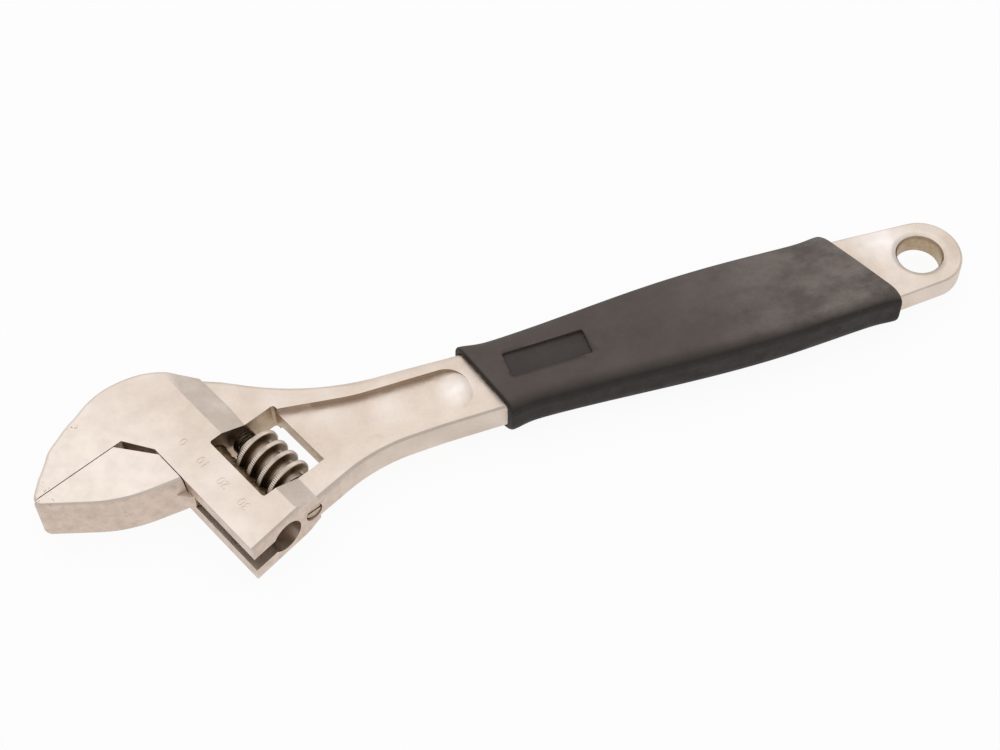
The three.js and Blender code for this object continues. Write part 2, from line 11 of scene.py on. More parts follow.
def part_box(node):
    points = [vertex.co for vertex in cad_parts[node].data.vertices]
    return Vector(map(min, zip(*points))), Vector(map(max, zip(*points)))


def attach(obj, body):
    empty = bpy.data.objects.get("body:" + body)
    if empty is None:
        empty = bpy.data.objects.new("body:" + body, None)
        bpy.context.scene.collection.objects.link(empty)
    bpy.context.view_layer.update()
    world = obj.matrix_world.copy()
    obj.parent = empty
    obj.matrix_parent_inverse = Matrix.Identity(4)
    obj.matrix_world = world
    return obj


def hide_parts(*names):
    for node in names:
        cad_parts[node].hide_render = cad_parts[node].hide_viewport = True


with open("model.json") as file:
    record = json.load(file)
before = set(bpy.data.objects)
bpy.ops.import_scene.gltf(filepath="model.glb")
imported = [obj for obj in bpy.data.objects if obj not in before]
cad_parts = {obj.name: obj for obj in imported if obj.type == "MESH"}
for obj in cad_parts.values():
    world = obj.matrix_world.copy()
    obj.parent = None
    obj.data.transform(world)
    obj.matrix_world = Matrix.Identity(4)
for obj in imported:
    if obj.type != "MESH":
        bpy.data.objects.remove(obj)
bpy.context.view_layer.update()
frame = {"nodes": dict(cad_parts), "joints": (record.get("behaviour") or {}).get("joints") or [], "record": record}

MM = 0.001
scene = bpy.context.scene

# ---- places taken from the frame ----
joints = {joint["name"]: joint for joint in frame["joints"]}
OPENING = Vector(joints["jaw_slide"]["axis"])  # the way the loose jaw slides
REACH = Vector((-OPENING.y, OPENING.x, 0))  # from the jaw tips back into the head
UP = Vector((0, 0, 1))
WORM_REACH = 24.3 * MM
WORM_MIDDLE = 34.3 * MM  # along opening, the place on the worm's axis that its joint names
worm_place = Vector(joints["worm_turn"]["pos_m"])
MID_PLANE = worm_place.z
throat = worm_place - WORM_REACH * REACH - WORM_MIDDLE * OPENING
hole_low, hole_high = (Vector(c) for c in frame["record"]["physics"]["openings"][0]["box_m"])
hole = (hole_low + hole_high) / 2
HEAD_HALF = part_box("wrench_body")[1].z - MID_PLANE
HEAD_FRAME = Matrix.Translation(throat) @ Matrix((OPENING, REACH, UP)).transposed().to_4x4()
HANDLE_FRAME = Matrix.Translation(hole)  # X along the handle, with the hanging hole at its origin

# ---- sizes of the worm, its spring and the window, in the head's frame ----
THREAD_PITCH = 5.0 * MM
THREAD_PHASE = 0.9  # turns
WORM_RADIUS = 8.7 * MM
ROOT_RADIUS = 5.6 * MM
WORM_START = 24.1 * MM
WORM_END = 44.3 * MM
WORM_BORE = 2.5 * MM
KNURLS = 84  # grip lines round the worm's crest
KNURL_DEPTH = 0.15 * MM
KNURL_BAND = 0.2 * MM  # how far below the crest's top the grip lines reach
SPRING_START = 19.75 * MM
SPRING_PITCH = 1.2 * MM
SPRING_TURNS = 3
SPRING_RADIUS = 3.7 * MM
SPRING_WIRE = 0.45 * MM
WINDOW = ((19.0 * MM, 44.6 * MM), (14.2 * MM, 37.2 * MM))  # along opening, along reach

# ---- how far the forging stands out from the CAD solid: (place, amount) stops in millimetres ----
HOLE_REGION = 10 * MM  # the ring round the hanging hole that flares
HOLE_FLARE = ((7.2, 0), (9, 0.8))  # by distance from the hanging hole's middle
TAIL_WIDER = 0.055  # shares of the tail's own width and height
TAIL_THICKER = 0.12
NECK_UPPER = ((-240, 0), (-228, 1.5), (-180, 1.5), (-150, 0.7), (-54, 0.5))  # along the handle
NECK_LOWER = ((-220, 0), (-192, 1.3), (-165, 0.2), (-54, 0))
POCKET_EDGE = ((-222, 13.8), (-188, 9))  # half width of the neck's flat middle, which stays put
POCKET_BLEND = 1.5 * MM
NECK_REACH = 12 * MM  # below the centre line, the neck's outline begins this far back in the head
BROW_START = -6 * MM  # along opening
END_FACE = ((46, 0), (57, 1.1))  # along opening
BROW = ((-27, 0), (-20.5, 0.8), (-13, 0), (-5, -0.9), (9, 0))  # along reach, moved along opening
NOSE = ((-37, -0.9), (-34, -0.3), (-28, 0.9), (-20, 0.4), (-13, 0))  # along reach, moved along it
HOOK_TIP = ((28, 0), (37, 0.7))  # by distance from the throat
HOOK_TIP_FADE = 6 * MM
HEEL_START = 15 * MM
HEEL = ((-15, 0), (0, 1.5))

# ---- eased corners, creases and numbers of the forged pieces ----
SAME_POINT = 2e-6
FLAT_ENOUGH = math.radians(0.2)
CORNER = math.radians(35)  # edges sharper than this are eased
BODY_EASE = 0.25 * MM
JAW_EASE = 0.15 * MM
PIN_EASE = 0.12 * MM
FORGED_CREASE = math.radians(21)  # an edge past this shows as a crease
TURNED_CREASE = math.radians(40)
WIRE_CREASE = math.radians(50)
NUMBER_FIRST = 13.2 * MM
NUMBER_STEP = 10.0 * MM
NUMBER_REACH = 9.2 * MM
NUMBER_HEIGHT = 3.1 * MM
LETTER_SIZE = 1.35  # the font's size over the height of its figures
NUMBER_DEPTH = 0.1 * MM

# ---- sizes of the grip, in the handle's frame ----
GRIP_FRONT = -150.9 * MM
GRIP_REAR = -21.5 * MM
FRONT_SLANT = 0.29
REAR_SLANT = 0.45
BELLY = 0.66  # place of the fullest section, as a share of the length
HALF_WIDTHS = (13.9 * MM, 17.6 * MM, 16.5 * MM)  # at the front, belly and rear
HALF_THICKNESSES = (7.5 * MM, 8.4 * MM, 8.1 * MM)
SAG = 0.5 * MM  # sleeve's middle below the handle's centre line at the rear
GRIP_CORNER = 5.0 * MM
GRIP_CROWN = 0.35 * MM  # how far the broad faces bulge
INNER_CORNER = 1.9 * MM
LIPS = (1.2 * MM, 0.6 * MM)  # flare of the front and rear ends
LIP_ON_FACES = 0.25  # share of the flare that the broad faces have
LIP_FADE = 5.5 * MM
LIP_ROUND = 0.9 * MM
GRIP_RINGS = 64
NECK = (12.6 * MM, 5.65 * MM)  # half width and thickness inside the sleeve's front end
TAIL = (15.3 * MM, 4.5 * MM)
TAIL_STEP = -54.0 * MM
STEP_RUN = 0.01  # shares of the grip's length that the step and the neck's end take
NECK_SHARE = 0.25
PANEL = (27.0 * MM, 9.6 * MM)
PANEL_MIDDLE = (-129.2 * MM, 0.6 * MM)
PANEL_DEPTH = 0.75 * MM
PANEL_TILT = math.radians(3.5)
PANEL_CORNER = 0.8 * MM
PANEL_SHARE = 0.15  # its place along the grip


# ---- small tools ----
def new_piece(name, bm, body, node):
    """Makes a shape a piece that rides on a body and stands for a CAD node."""
    mesh = bpy.data.meshes.new(name)
    bm.to_mesh(mesh)
    bm.free()
    piece = bpy.data.objects.new(name, mesh)
    scene.collection.objects.link(piece)
    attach(piece, body)
    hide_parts(node)
    return piece


def cut(piece, cutter_bm):
    """Cuts a closed shape out of the piece."""
    mesh = bpy.data.meshes.new("cutter")
    bmesh.ops.recalc_face_normals(cutter_bm, faces=cutter_bm.faces)
    cutter_bm.to_mesh(mesh)
    cutter_bm.free()
    cutter = bpy.data.objects.new("cutter", mesh)
    scene.collection.objects.link(cutter)
    difference = piece.modifiers.new("cut", "BOOLEAN")
    difference.object = cutter
    difference.operation = "DIFFERENCE"
    difference.solver = "EXACT"
    bpy.context.view_layer.update()
    graph = bpy.context.evaluated_depsgraph_get()
    made = bpy.data.meshes.new_from_object(piece.evaluated_get(graph))
    piece.modifiers.remove(difference)
    whole = piece.data
    piece.data = made
    bpy.data.meshes.remove(whole)
    bpy.data.objects.remove(cutter)
    bpy.data.meshes.remove(mesh)


def shade_by_angle(piece, crease):
    """Smooth shading that keeps flats flat and creases sharp."""
    bm = bmesh.new()
    bm.from_mesh(piece.data)
    for face in bm.faces:
        face.smooth = True
    for edge in bm.edges:
        edge.smooth = edge.calc_face_angle(0) < crease
    bm.to_mesh(piece.data)
    bm.free()
    weighted = piece.modifiers.new("flat_faces", "WEIGHTED_NORMAL")
    weighted.keep_sharp = True
    weighted.weight = 100  # by face area above all
    return piece


def in_head(opening, reach, up=0.0):
    """A place in the head from its distances along opening and reach, and above the mid-plane."""
    return throat + opening * OPENING + reach * REACH + up * UP


def head_place(point):
    """A point's places along opening and reach, and its height above the mid-plane."""
    away = point - throat
    return away.dot(OPENING), away.dot(REACH), away.z


def growth(place, stops):
    """Blends smoothly between (place, amount) stops in millimetres, for a place in metres."""
    place /= MM
    for (start, first), (end, second) in zip(stops, stops[1:]):
        if start <= place <= end:
            share = (place - start) / (end - start)
            return (first + (second - first) * share * share * (3 - 2 * share)) * MM
    return stops[0 if place < stops[0][0] else -1][1] * MM


def grown_outline(point):
    """The forging's outline: fuller neck, end face and tail, and a lower brow than the solid's."""
    opening, reach, up = head_place(point)
    x, y, _ = point - hole
    moved = Vector()
    if x > TAIL_STEP:
        from_hole = math.hypot(x, y)
        flare = growth(from_hole, HOLE_FLARE) / from_hole if from_hole < HOLE_REGION else 0
        wider = TAIL_WIDER if from_hole > HOLE_REGION else 0
        moved = Vector((flare * x, (wider + flare) * y, TAIL_THICKER * up))
    elif reach > NECK_REACH or y > 0:
        outer = max(0, min((abs(y) - growth(x, POCKET_EDGE)) / POCKET_BLEND, 1))
        moved.y = outer * (growth(x, NECK_UPPER) if y > 0 else -growth(x, NECK_LOWER))
    moved += growth(opening, END_FACE) * OPENING
    if opening < BROW_START:
        moved += growth(reach, BROW) * OPENING
        moved += growth(reach, NOSE) * REACH
    return point + moved


def fuller_hook(point):
    """The loose jaw's hook: a longer blunt tip, and a back that swells at the heel."""
    opening, reach, up = head_place(point)
    if opening < HOOK_TIP_FADE:
        fading = 1 - max(opening, 0) / HOOK_TIP_FADE
        return point - growth(-reach, HOOK_TIP) * fading * REACH
    if opening > HEEL_START and reach < 0:
        barrel = 1 - (up / HEAD_HALF) ** 2
        return point + growth(reach, HEEL) * barrel * OPENING
    return point


def eased_copy(node, name, body, width, outline, sections=()):
    """A CAD node's own shape, drawn to a fuller outline at some sections, with eased corners."""
    bm = bmesh.new()
    bm.from_mesh(frame["nodes"][node].data)
    bmesh.ops.remove_doubles(bm, verts=bm.verts, dist=SAME_POINT)
    bmesh.ops.dissolve_limit(
        bm, angle_limit=FLAT_ENOUGH, verts=bm.verts, edges=bm.edges, delimit=set())
    for place, across in sections:
        bmesh.ops.bisect_plane(
            bm, geom=bm.verts[:] + bm.edges[:] + bm.faces[:], dist=1e-6, plane_co=place,
            plane_no=across)
    for vert in bm.verts:
        vert.co = outline(vert.co)
    corners = [e for e in bm.edges if e.is_manifold and e.calc_face_angle(0) > CORNER]
    bmesh.ops.bevel(
        bm, geom=corners, offset=width, offset_type="OFFSET", affect="EDGES", segments=2,
        profile=0.5, material=-1, clamp_overlap=True, loop_slide=True)
    return new_piece(name, bm, body, node)


def mark(piece, name, value_of):
    """Stores a number for each face, which a material reads by its name."""
    layer = piece.data.attributes.new(name, "FLOAT", "FACE")
    layer.data.foreach_set("value", [value_of(face) for face in piece.data.polygons])


def mark_points(piece, name, value_of):
    """Stores a number for each vertex, so that it changes smoothly between them."""
    layer = piece.data.attributes.new(name, "FLOAT", "POINT")
    layer.data.foreach_set("value", [value_of(vertex) for vertex in piece.data.vertices])


def levelness(element):
    """How far a face or vertex faces straight up or down, 0 to 1."""
    return abs(element.normal.z)


# ---- materials ----
METAL_IOR = 1.8
SATIN = (0.32, 0.5)  # roughness of the plating, at its smoothest and roughest


class Finish:
    """A Principled material with helpers for patterns on Object coordinates."""

    def __init__(self, name, **sockets):
        self.material = bpy.data.materials.new(name)
        self.material.use_nodes = True
        self.nodes = self.material.node_tree.nodes
        self.links = self.material.node_tree.links
        self.shader = self.nodes["Principled BSDF"]
        for socket, value in sockets.items():
            self.shader.inputs[socket.replace("_", " ")].default_value = value
        self.place = self.nodes.new("ShaderNodeTexCoord").outputs["Object"]

    def noise(self, size, detail=3.0, roughness=0.55, stretch=None):
        """Noise whose blotches are about size across, in metres."""
        texture = self.nodes.new("ShaderNodeTexNoise")
        texture.inputs["Scale"].default_value = 1 / size
        texture.inputs["Detail"].default_value = detail
        texture.inputs["Roughness"].default_value = roughness
        place = self.place
        if stretch:
            mapping = self.nodes.new("ShaderNodeMapping")
            mapping.inputs["Scale"].default_value = stretch
            self.links.new(self.place, mapping.inputs["Vector"])
            place = mapping.outputs["Vector"]
        self.links.new(place, texture.inputs["Vector"])
        return texture.outputs["Fac"]

    def ramp(self, source, *stops):
        """Colours along a value from (place, colour) stops."""
        ramp = self.nodes.new("ShaderNodeValToRGB")
        elements = ramp.color_ramp.elements
        while len(elements) < len(stops):
            elements.new(0.5)
        for element, (place, colour) in zip(elements, stops):
            element.position = place
            element.color = (*colour, 1)
        self.links.new(source, ramp.inputs["Fac"])
        return ramp.outputs["Color"]

    def spread(self, source, low, high, start=0.3, end=0.7):
        """Maps a value from start..end to low..high."""
        node = self.nodes.new("ShaderNodeMapRange")
        limits = {"From Min": start, "From Max": end, "To Min": low, "To Max": high}
        for socket, value in limits.items():
            node.inputs[socket].default_value = value
        self.links.new(source, node.inputs["Value"])
        return node.outputs["Result"]

    def mix(self, factor, first, second, blend="MIX"):
        """Two colours mixed by a factor, each a socket, a number or a colour."""
        node = self.nodes.new("ShaderNodeMix")
        node.data_type = "RGBA"
        node.blend_type = blend
        for source, socket in ((factor, 0), (first, 6), (second, 7)):
            if isinstance(source, (int, float)):
                node.inputs[socket].default_value = source
            elif isinstance(source, tuple):
                node.inputs[socket].default_value = (*source, 1)
            else:
                self.links.new(source, node.inputs[socket])
        return node.outputs[2]

    def math(self, kind, first, second):
        """One sum of two values, each a socket or a number."""
        node = self.nodes.new("ShaderNodeMath")
        node.operation = kind
        for source, socket in ((first, 0), (second, 1)):
            if isinstance(source, (int, float)):
                node.inputs[socket].default_value = source
            else:
                self.links.new(source, node.inputs[socket])
        return node.outputs[0]

    def vector(self, kind, first, second=None):
        """One vector sum of sockets or fixed vectors; lengths and dot products give a number."""
        node = self.nodes.new("ShaderNodeVectorMath")
        node.operation = kind
        for source, socket in ((first, 0), (second, 1)):
            if source is None:
                continue
            if isinstance(source, Vector):
                node.inputs[socket].default_value = source
            else:
                self.links.new(source, node.inputs[socket])
        return node.outputs["Value" if kind in ("LENGTH", "DOT_PRODUCT") else "Vector"]

    def marked(self, name):
        """A number stored on the piece by its name."""
        node = self.nodes.new("ShaderNodeAttribute")
        node.attribute_name = name
        return node.outputs["Fac"]

    def along(self, direction, start=Vector()):
        """Distance along a direction from a point, in metres."""
        return self.vector("DOT_PRODUCT", self.vector("SUBTRACT", self.place, start), direction)

    def from_axis(self, point, direction):
        """Distance from a line through a point, in metres."""
        away = self.vector("SUBTRACT", self.place, point)
        return self.vector("LENGTH", self.vector("CROSS_PRODUCT", away, direction))

    def near(self, point, radius):
        """1 at a point, fading to 0 at a radius."""
        away = self.vector("LENGTH", self.vector("SUBTRACT", self.place, point))
        return self.spread(away, 1, 0, 0, radius)

    def specks(self, size, share):
        """Small spots that cover about a share of the surface."""
        return self.spread(self.noise(size, 2, 0.6), 0, 1, 0.72 - share, 0.76 - share)

    def colour(self, source):
        self.links.new(source, self.shader.inputs["Base Color"])
        return self

    def roughness(self, source):
        self.links.new(source, self.shader.inputs["Roughness"])
        return self

    def bump(self, *layers):
        """Layers of (height source, depth in metres), stacked."""
        normal = None
        for source, depth in layers:
            node = self.nodes.new("ShaderNodeBump")
            node.inputs["Distance"].default_value = depth
            node.inputs["Strength"].default_value = 1.0
            self.links.new(source, node.inputs["Height"])
            if normal:
                self.links.new(normal, node.inputs["Normal"])
            normal = node.outputs["Normal"]
        self.links.new(normal, self.shader.inputs["Normal"])
        return self

    def on(self, *pieces):
        for piece in pieces:
            piece.data.materials.clear()
            piece.data.materials.append(self.material)
        return self


NICKEL = (0.75, 0.64, 0.555)
NICKEL_WARM = (0.69, 0.58, 0.495)
NICKEL_PALE = (0.87, 0.78, 0.71)
SIDE_SHADE = (0.70, 0.57, 0.485)  # painted shade on the sides, which face away from the lamp above
SHADED = (0.50, 0.375, 0.26)  # painted shade on the walls of the window, pockets and hole, and on the pin
OIL_AND_SHADE = (0.07, 0.048, 0.024)
OIL_THIN = (0.36, 0.25, 0.14)
RUST = (0.30, 0.12, 0.04)
# painted highlight at the pocket's rounded end, and a paler tail
PALE_PATCH = (0.97, 0.90, 0.86)
GRAIN = (0.90, 0.89, 0.88)
GRAIN_PALE = (1.0, 1.0, 1.0)
SIDE_SHADE_DARK = (0.56, 0.45, 0.375)
SHADED_DARK = (0.38, 0.28, 0.18)
WORM_BANDS = (  # from the thread's root to its crest; the dark flanks are oil and painted shade
    (0.02, (0.62, 0.51, 0.44)), (0.12, (0.36, 0.27, 0.19)), (0.30, (0.13, 0.092, 0.045)),
    (0.80, (0.16, 0.115, 0.06)), (0.95, NICKEL))
WIRE_DARK = (0.02, 0.014, 0.008)
WIRE_OILED = (0.10, 0.07, 0.04)
RUBBER = (0.101, 0.082, 0.073)
RUBBER_DARK = (0.086, 0.068, 0.060)
RUBBER_SCUFFED = (0.26, 0.22, 0.198)
RUBBER_SIDE_SHADE = (0.027, 0.021, 0.018)
DUST = (0.20, 0.17, 0.15)


def nickel(name, patches=(), spots=(), fade=None):
    """Satin plating over a blasted forging: bright flat faces, painted shade on the sides, and oil, rough forging
    and painted shade where marked.

    patches are pale places, a painted highlight among them, and spots are specks of rust, as (place, radius);
    fade is the reach over which the plating goes from pale to its usual tone.
    """
    finish = Finish(name, Metallic=1.0, IOR=METAL_IOR)
    clouds = finish.ramp(
        finish.noise(0.016, 5, 0.6), (0.3, NICKEL_WARM), (0.5, NICKEL), (0.75, NICKEL_PALE))
    grain = finish.ramp(finish.noise(0.0012, 3, 0.7), (0.25, GRAIN), (0.7, GRAIN_PALE))
    plating = finish.mix(0.7, clouds, finish.mix(1.0, clouds, grain, "MULTIPLY"))
    if fade:
        pale = finish.spread(finish.along(REACH, throat), 0.75, 0, *fade)
        plating = finish.mix(pale, plating, NICKEL_PALE)
    for place, radius in patches:
        plating = finish.mix(finish.near(place, radius), plating, PALE_PATCH)
    # Painted shade: faces that don't face up, as the level mark tells, take the darker side tone.
    painted_lit_share = finish.spread(finish.marked("level"), 0, 1, 0.35, 0.9)
    side_shade = finish.ramp(finish.noise(0.003, 5, 0.7), (0.3, SIDE_SHADE_DARK), (0.6, SIDE_SHADE))
    plating = finish.mix(painted_lit_share, side_shade, plating)
    # Painted shade over a rough grain, on the walls marked for it.
    rough_shade = finish.ramp(finish.noise(0.0012, 4, 0.7), (0.3, SHADED_DARK), (0.65, SHADED))
    plating = finish.mix(finish.marked("rough_shade"), plating, rough_shade)
    for place, radius in spots:
        spot = finish.math("MULTIPLY", finish.near(place, radius), finish.specks(0.0009, 0.1))
        plating = finish.mix(spot, plating, RUST)
    # Oil with painted shade: the marked walls and the jaw's rod go dark brown to near black.
    oil = finish.ramp(finish.noise(0.0025, 4, 0.65), (0.35, OIL_AND_SHADE), (0.68, OIL_THIN))
    finish.colour(finish.mix(finish.marked("oil_and_shade"), plating, oil))
    finish.roughness(finish.spread(finish.noise(0.004, 4), *SATIN))
    return finish.bump(
        (finish.noise(0.007, 2), 0.06 * MM), (finish.noise(0.0007, 3, 0.65), 0.02 * MM))


# ---- forged pieces ----
def stamped_numbers(piece):
    """Scale numbers stamped along the window's front edge, read from the jaw's side."""
    turn = Matrix((-OPENING, -REACH, UP)).transposed().to_4x4()
    for count in range(4):
        curve = bpy.data.curves.new("number", "FONT")
        curve.body = str(10 * count)
        curve.size = NUMBER_HEIGHT * LETTER_SIZE
        curve.align_x = "CENTER"
        curve.extrude = NUMBER_DEPTH
        text = bpy.data.objects.new("number", curve)
        scene.collection.objects.link(text)
        bpy.context.view_layer.update()
        mesh = bpy.data.meshes.new_from_object(text)
        bpy.data.objects.remove(text)
        bpy.data.curves.remove(curve)
        place = in_head(NUMBER_FIRST + count * NUMBER_STEP, NUMBER_REACH, HEAD_HALF)
        bm = bmesh.new()
        bm.from_mesh(mesh)
        bpy.data.meshes.remove(mesh)
        bmesh.ops.remove_doubles(bm, verts=bm.verts, dist=SAME_POINT / 2)
        bmesh.ops.transform(bm, matrix=Matrix.Translation(place) @ turn, verts=bm.verts)
        cut(piece, bm)


def sliced(bm, place, outward):
    """Cuts off what lies outward of a plane and closes the cut."""
    made = bmesh.ops.bisect_plane(
        bm, geom=bm.verts[:] + bm.edges[:] + bm.faces[:], dist=1e-7, plane_co=place,
        plane_no=outward, clear_outer=True)
    rim = [e for e in made["geom_cut"] if isinstance(e, bmesh.types.BMEdge)]
    bmesh.ops.contextual_create(bm, geom=rim)


# Strengths from 0 to 1 of the oil and of the rough forged walls, both darkened with painted shade, read by the
# materials.
KEYHOLE_OIL_AND_SHADE = 0.1
WORM_OIL_AND_SHADE = 0.95
WINDOW_ROUGH_SHADE = 0.9
WINDOW_EDGE_ROUGH_SHADE = 0.3
POCKET_ROUGH_SHADE = 0.6
HOLE_ROUGH_SHADE = 1.0
RIM_ROUGH_SHADE = 0.8
PIN_ROUGH_SHADE = 0.4
NECK_SIDE_LEVEL = 0.85
NECK_SIDE_START = -230 * MM
NECK_SIDE_RUN = 45 * MM


def body_oil_and_shade(face):
    """Walls of the keyhole, and of the window under the worm, hold oil and are darkened with painted shade."""
    opening, reach, up = head_place(face.center)
    in_bore = 7 * MM < reach < 19.5 * MM and abs(up) < 5.7 * MM and opening > 1 * MM
    in_slot = 0.3 * MM < reach < 10 * MM and abs(up) < 3.8 * MM and opening > 8 * MM
    if (in_bore or in_slot) and abs(face.normal.dot(OPENING)) < 0.7:
        return KEYHOLE_OIL_AND_SHADE
    (start, end), (front, back) = WINDOW
    in_window = start - MM < opening < end + MM and front - MM < reach < back + 0.7 * MM
    if in_window and abs(face.normal.z) < 0.3 and face.normal.dot(REACH) > 0.5:
        return WORM_OIL_AND_SHADE
    return 0.0


def body_rough_shade(face):
    """Steep walls of the window, pockets and hanging hole keep a rough forged surface, darkened with painted
    shade; a strip on the pocket's lower rim takes a painted dark line.
    """
    opening, reach, up = head_place(face.center)
    x, y, _ = face.center - hole
    steep = abs(face.normal.z) < 0.85
    (start, end), (front, back) = WINDOW
    if steep and start - MM < opening < end + MM and front - MM < reach < back + MM:
        return WINDOW_ROUGH_SHADE if abs(face.normal.z) < 0.3 else WINDOW_EDGE_ROUGH_SHADE
    in_pocket = abs(y) < 9.5 * MM and -220 * MM < x < -154 * MM and abs(up) < 5.4 * MM
    if steep and (in_pocket or math.hypot(x, y) < 8.6 * MM):
        return POCKET_ROUGH_SHADE if in_pocket else HOLE_ROUGH_SHADE
    on_rim = 5 * MM < abs(up) < 5.4 * MM and 0.3 < abs(face.normal.z) < 0.97
    return RIM_ROUGH_SHADE if on_rim and in_pocket and y < -4 * MM else 0.0


def body_lit_share(face):
    """Painted light: flat faces take the bright top tone, and the neck's sides nearly so; steeper faces take the
    painted side shade.
    """
    along_neck = (face.center.x - hole.x - NECK_SIDE_START) / NECK_SIDE_RUN
    return max(levelness(face), NECK_SIDE_LEVEL * min(along_neck, 1))


nose_sections = [(in_head(0, reach * MM), REACH) for reach in range(-34, 12, 2)]
neck_sections = [(hole + Vector((x * MM, 0, 0)), Vector((1, 0, 0))) for x in range(-240, -150, 6)]
body = eased_copy("wrench_body", "forged_body", "wrench", BODY_EASE,
                  grown_outline, nose_sections + neck_sections)
stamped_numbers(body)
mark(body, "oil_and_shade", body_oil_and_shade)
mark(body, "rough_shade", body_rough_shade)

heel_sections = [(in_head(0, reach * MM), REACH) for reach in range(-15, 0, 2)]
layers = [(in_head(0, 0, up * MM), UP) for up in range(-8, 9, 2)]
jaw = eased_copy("movable_jaw", "forged_jaw", "jaw", JAW_EASE,
                 fuller_hook, heel_sections + layers)
# The jaw's rod and rack, back in the head, take the dark tone: oil, and painted shade.
mark(jaw, "oil_and_shade", lambda face: WORM_OIL_AND_SHADE if head_place(face.center)[1] > 3 * MM else 0.0)
mark(jaw, "rough_shade", lambda face: 0.0)

pin = eased_copy("worm_pin", "turned_pin", "wrench", PIN_EASE, grown_outline)
mark(pin, "oil_and_shade", lambda face: 0.0)
mark(pin, "rough_shade", lambda face: PIN_ROUGH_SHADE)
# The level marks tell the materials where the bright top tone goes and where the painted side shade goes.
mark(body, "level", body_lit_share)
mark(jaw, "level", levelness)
mark(pin, "level", levelness)
for piece in (body, jaw, pin):
    shade_by_angle(piece, FORGED_CREASE)


# ---- worm and spring ----
def turned_worm():
    """The thumb worm: one pitch of its thread wound into a screw, cut to length and bored."""
    half = THREAD_PITCH / 2
    crest = (0.5 * MM, WORM_RADIUS)
    corner = (0.74 * MM, WORM_RADIUS - 0.1 * MM)
    flank = (0.84 * MM, WORM_RADIUS - 0.4 * MM)
    foot = (1.2 * MM, ROOT_RADIUS + 0.35 * MM)
    fillet = (1.6 * MM, ROOT_RADIUS)
    rising = [(half, ROOT_RADIUS), fillet, foot, flank, corner, crest]
    profile = [(-along, radius) for along, radius in rising] + [(0, WORM_RADIUS)] + rising[::-1]
    first_crest = (3 - THREAD_PHASE) * THREAD_PITCH
    turns = math.ceil((WORM_END - first_crest) / THREAD_PITCH) + 1
    steps = 2 * KNURLS
    bm = bmesh.new()
    points = [bm.verts.new((first_crest + along, radius, 0)) for along, radius in profile]
    for left, right in zip(points, points[1:]):
        bm.edges.new((left, right))
    bmesh.ops.spin(
        bm, geom=bm.verts[:] + bm.edges[:], cent=(0, 0, 0), axis=(1, 0, 0),
        angle=2 * math.pi * turns, steps=steps * turns, dvec=(THREAD_PITCH / steps, 0, 0),
        use_merge=False, use_duplicate=False)
    bmesh.ops.remove_doubles(bm, verts=bm.verts, dist=0.01 * MM)
    for vert in bm.verts:
        radius = math.hypot(vert.co.y, vert.co.z)
        step = round(math.atan2(vert.co.z, vert.co.y) / (2 * math.pi) * steps)
        if radius > WORM_RADIUS - KNURL_BAND and step % 2:
            vert.co.yz *= 1 - KNURL_DEPTH / radius
    for place, outward in ((WORM_START, -1), (WORM_END, 1)):
        sliced(bm, (place, 0, 0), (outward, 0, 0))
    bmesh.ops.recalc_face_normals(bm, faces=bm.faces)
    bmesh.ops.translate(bm, vec=(0, WORM_REACH, 0), verts=bm.verts)
    bmesh.ops.transform(bm, matrix=HEAD_FRAME, verts=bm.verts)
    piece = new_piece("thumb_worm", bm, "worm", "worm")
    bore = bmesh.new()
    length = 3 * (WORM_END - WORM_START)
    bmesh.ops.create_cone(
        bore, cap_ends=True, segments=48, radius1=WORM_BORE, radius2=WORM_BORE, depth=length,
        matrix=HEAD_FRAME @ Matrix.Translation((WORM_MIDDLE, WORM_REACH, 0)) @ Matrix.Rotation(
            math.pi / 2, 4, "Y"))
    cut(piece, bore)
    return shade_by_angle(piece, TURNED_CREASE)


def wound_spring():
    """The short spring that takes up the worm's slack."""
    steps = 36
    bm = bmesh.new()
    bmesh.ops.create_circle(
        bm, segments=12, radius=SPRING_WIRE,
        matrix=Matrix.Translation((SPRING_START, SPRING_RADIUS, 0)))
    ring = bm.verts[:] + bm.edges[:]
    bmesh.ops.spin(
        bm, geom=ring, cent=(0, 0, 0), axis=(1, 0, 0), angle=2 * math.pi * SPRING_TURNS,
        steps=steps * SPRING_TURNS, dvec=(SPRING_PITCH / steps, 0, 0), use_merge=False,
        use_duplicate=False)
    bmesh.ops.holes_fill(bm, edges=[e for e in bm.edges if e.is_boundary], sides=0)
    bmesh.ops.recalc_face_normals(bm, faces=bm.faces)
    bmesh.ops.translate(bm, vec=(0, WORM_REACH, 0), verts=bm.verts)
    bmesh.ops.transform(bm, matrix=HEAD_FRAME, verts=bm.verts)
    piece = new_piece("wound_spring", bm, "wrench", "worm_spring")
    return shade_by_angle(piece, WIRE_CREASE)


worm = turned_worm()
spring = wound_spring()


# ---- grip ----
def between(values, share):
    """Front, belly and rear values blended smoothly along the grip."""
    front, belly, rear = values
    end, run = (front, BELLY) if share < BELLY else (rear, 1 - BELLY)
    away = min(abs(share - BELLY) / run, 1)
    return belly + (end - belly) * (0.5 - 0.5 * math.cos(math.pi * away))


